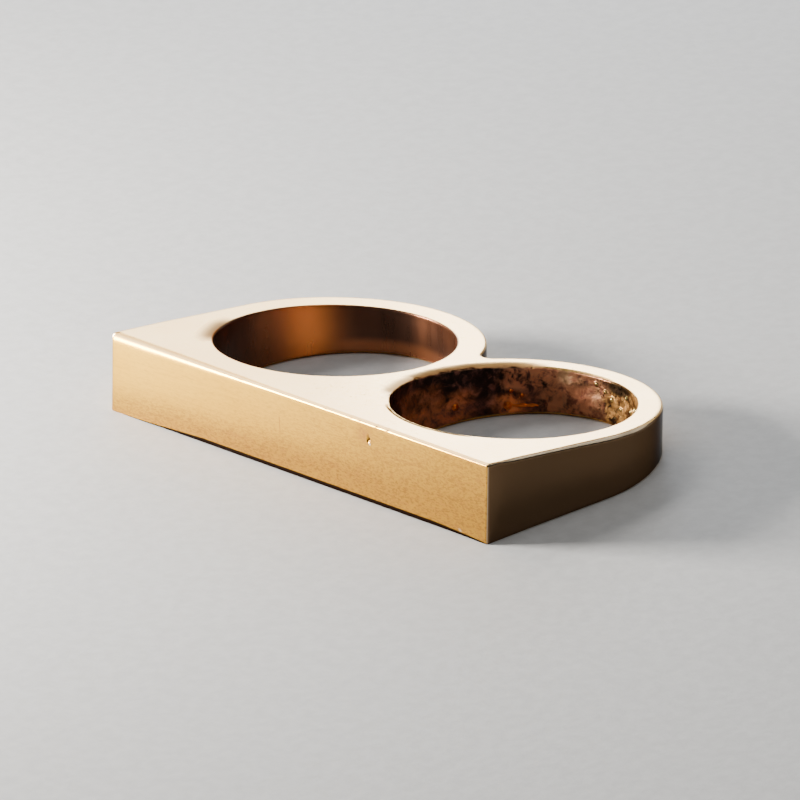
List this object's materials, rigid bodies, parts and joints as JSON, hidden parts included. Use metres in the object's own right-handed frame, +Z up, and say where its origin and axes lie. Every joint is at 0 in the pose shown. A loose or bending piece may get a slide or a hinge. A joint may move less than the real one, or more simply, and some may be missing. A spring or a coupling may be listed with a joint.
{
  "type": "two finger ring",
  "caption": "Cast metal ring for two fingers: a flat straight front bar with a round band behind it for each finger, lying on its side.",
  "frame": {"origin": "middle of the ring's footprint, at the height of its flat underside, which it rests on", "axes": "+X along the front bar, the front face looks to -Y, the bands bend round at +Y, +Z up; the finger holes lean back 7 degrees from +Z, square to the top face"},
  "size_m": [0.041, 0.0224, 0.0058],
  "materials": {
    "metal": "hand-filed and satin-polished yellow bronze, with dark rough as-cast skin in the right finger hole"
  },
  "bodies": {
    "root": {"two_finger_ring": "metal"}
  },
  "joints": []
}
